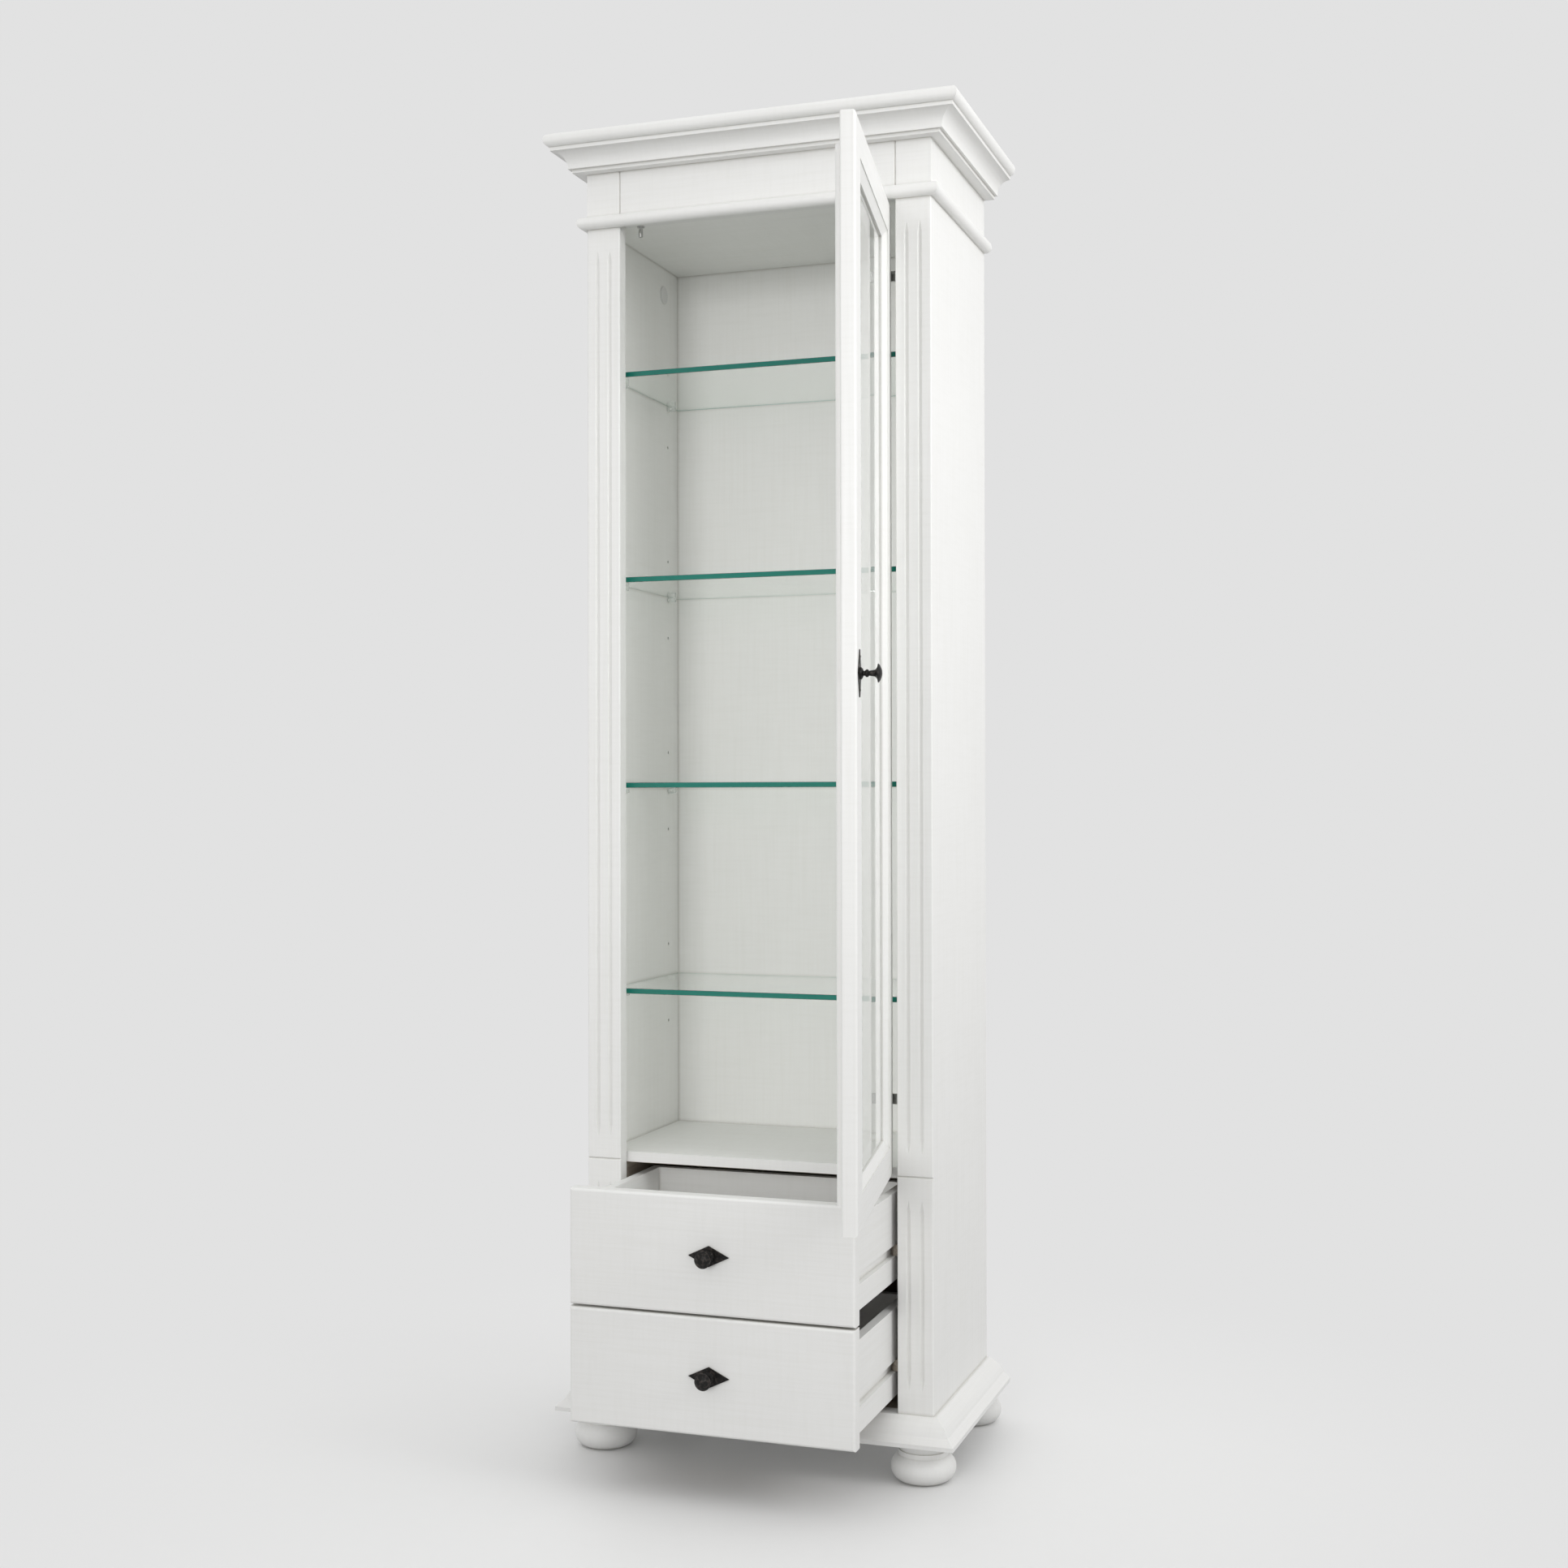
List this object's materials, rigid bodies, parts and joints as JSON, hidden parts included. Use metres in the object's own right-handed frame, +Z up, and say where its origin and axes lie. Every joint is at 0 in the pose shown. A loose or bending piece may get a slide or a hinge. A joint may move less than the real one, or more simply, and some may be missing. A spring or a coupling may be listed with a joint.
{
  "type": "display cabinet",
  "caption": "Tall white display cabinet with a cornice, fluted pilasters, a glazed hinged door over glass shelves, drawers below and bun feet.",
  "frame": {"origin": "on the floor, at mid-width, under the front face of the pilasters", "axes": "+Z up, +X to the right as seen from the front, +Y to the back"},
  "size_m": [0.646, 0.7574, 2],
  "materials": {
    "painted_wood": "white satin paint over faint wood grain",
    "runner_wood": "plain hardwood, thinly painted white",
    "shelf_glass": "clear float glass with polished green edges",
    "door_glass": "clear pane",
    "black_iron": "blackened, slightly worn",
    "hinge_steel": "plain steel",
    "stop_steel": "plain steel",
    "clear_plastic": "translucent white",
    "white_plastic": "white"
  },
  "bodies": {
    "cabinet": {"astragal_front": "painted_wood", "astragal_left": "painted_wood", "astragal_right": "painted_wood", "back_panel": "painted_wood", "bottom_panel": "painted_wood", "cornice_front": "painted_wood", "cornice_left": "painted_wood", "cornice_right": "painted_wood", "cornice_top_board": "painted_wood", "cover_caps": "white_plastic", "door_stop_pin": "stop_steel", "drawer_liners": "painted_wood", "drawer_runners": "runner_wood", "fixed_shelf": "painted_wood", "foot_back_left": "painted_wood", "foot_back_right": "painted_wood", "foot_front_left": "painted_wood", "foot_front_right": "painted_wood", "frieze_board": "painted_wood", "glass_shelf_1": "shelf_glass", "glass_shelf_2": "shelf_glass", "glass_shelf_3": "shelf_glass", "glass_shelf_4": "shelf_glass", "hinge_arms": "hinge_steel", "hinge_plates": "hinge_steel", "pilaster_left": "painted_wood", "pilaster_right": "painted_wood", "plinth_front": "painted_wood", "plinth_left": "painted_wood", "plinth_rail": "painted_wood", "plinth_right": "painted_wood", "shelf_pins": "clear_plastic", "side_left": "painted_wood", "side_right": "painted_wood", "top_panel": "painted_wood"},
    "door": {"door_glass": "door_glass", "door_knob": "black_iron", "door_knob_plate": "black_iron", "door_rail_bottom": "painted_wood", "door_rail_top": "painted_wood", "door_stile_free": "painted_wood", "door_stile_hinge": "painted_wood", "glazing_beads_level": "painted_wood", "glazing_beads_upright": "painted_wood", "hinge_cups": "hinge_steel", "hinge_pins": "hinge_steel"},
    "lower_drawer": {"lower_drawer_back": "painted_wood", "lower_drawer_bottom": "painted_wood", "lower_drawer_front": "painted_wood", "lower_drawer_knob": "black_iron", "lower_drawer_knob_plate": "black_iron", "lower_drawer_sides": "painted_wood"},
    "upper_drawer": {"upper_drawer_back": "painted_wood", "upper_drawer_bottom": "painted_wood", "upper_drawer_front": "painted_wood", "upper_drawer_knob": "black_iron", "upper_drawer_knob_plate": "black_iron", "upper_drawer_sides": "painted_wood"}
  },
  "joints": [
    {"name": "door_hinge", "type": "hinge", "parent": "cabinet", "child": "door", "pos_m": [0.1995, 0.0085, 1.147], "axis": [0, 0, 1], "range_deg": [-100, 10]},
    {"name": "lower_drawer_slide", "type": "slide", "parent": "cabinet", "child": "lower_drawer", "axis": [0, -1, 0], "range_m": [-0.193, 0.06]},
    {"name": "upper_drawer_slide", "type": "slide", "parent": "cabinet", "child": "upper_drawer", "axis": [0, -1, 0], "range_m": [-0.193, 0.06]}
  ]
}
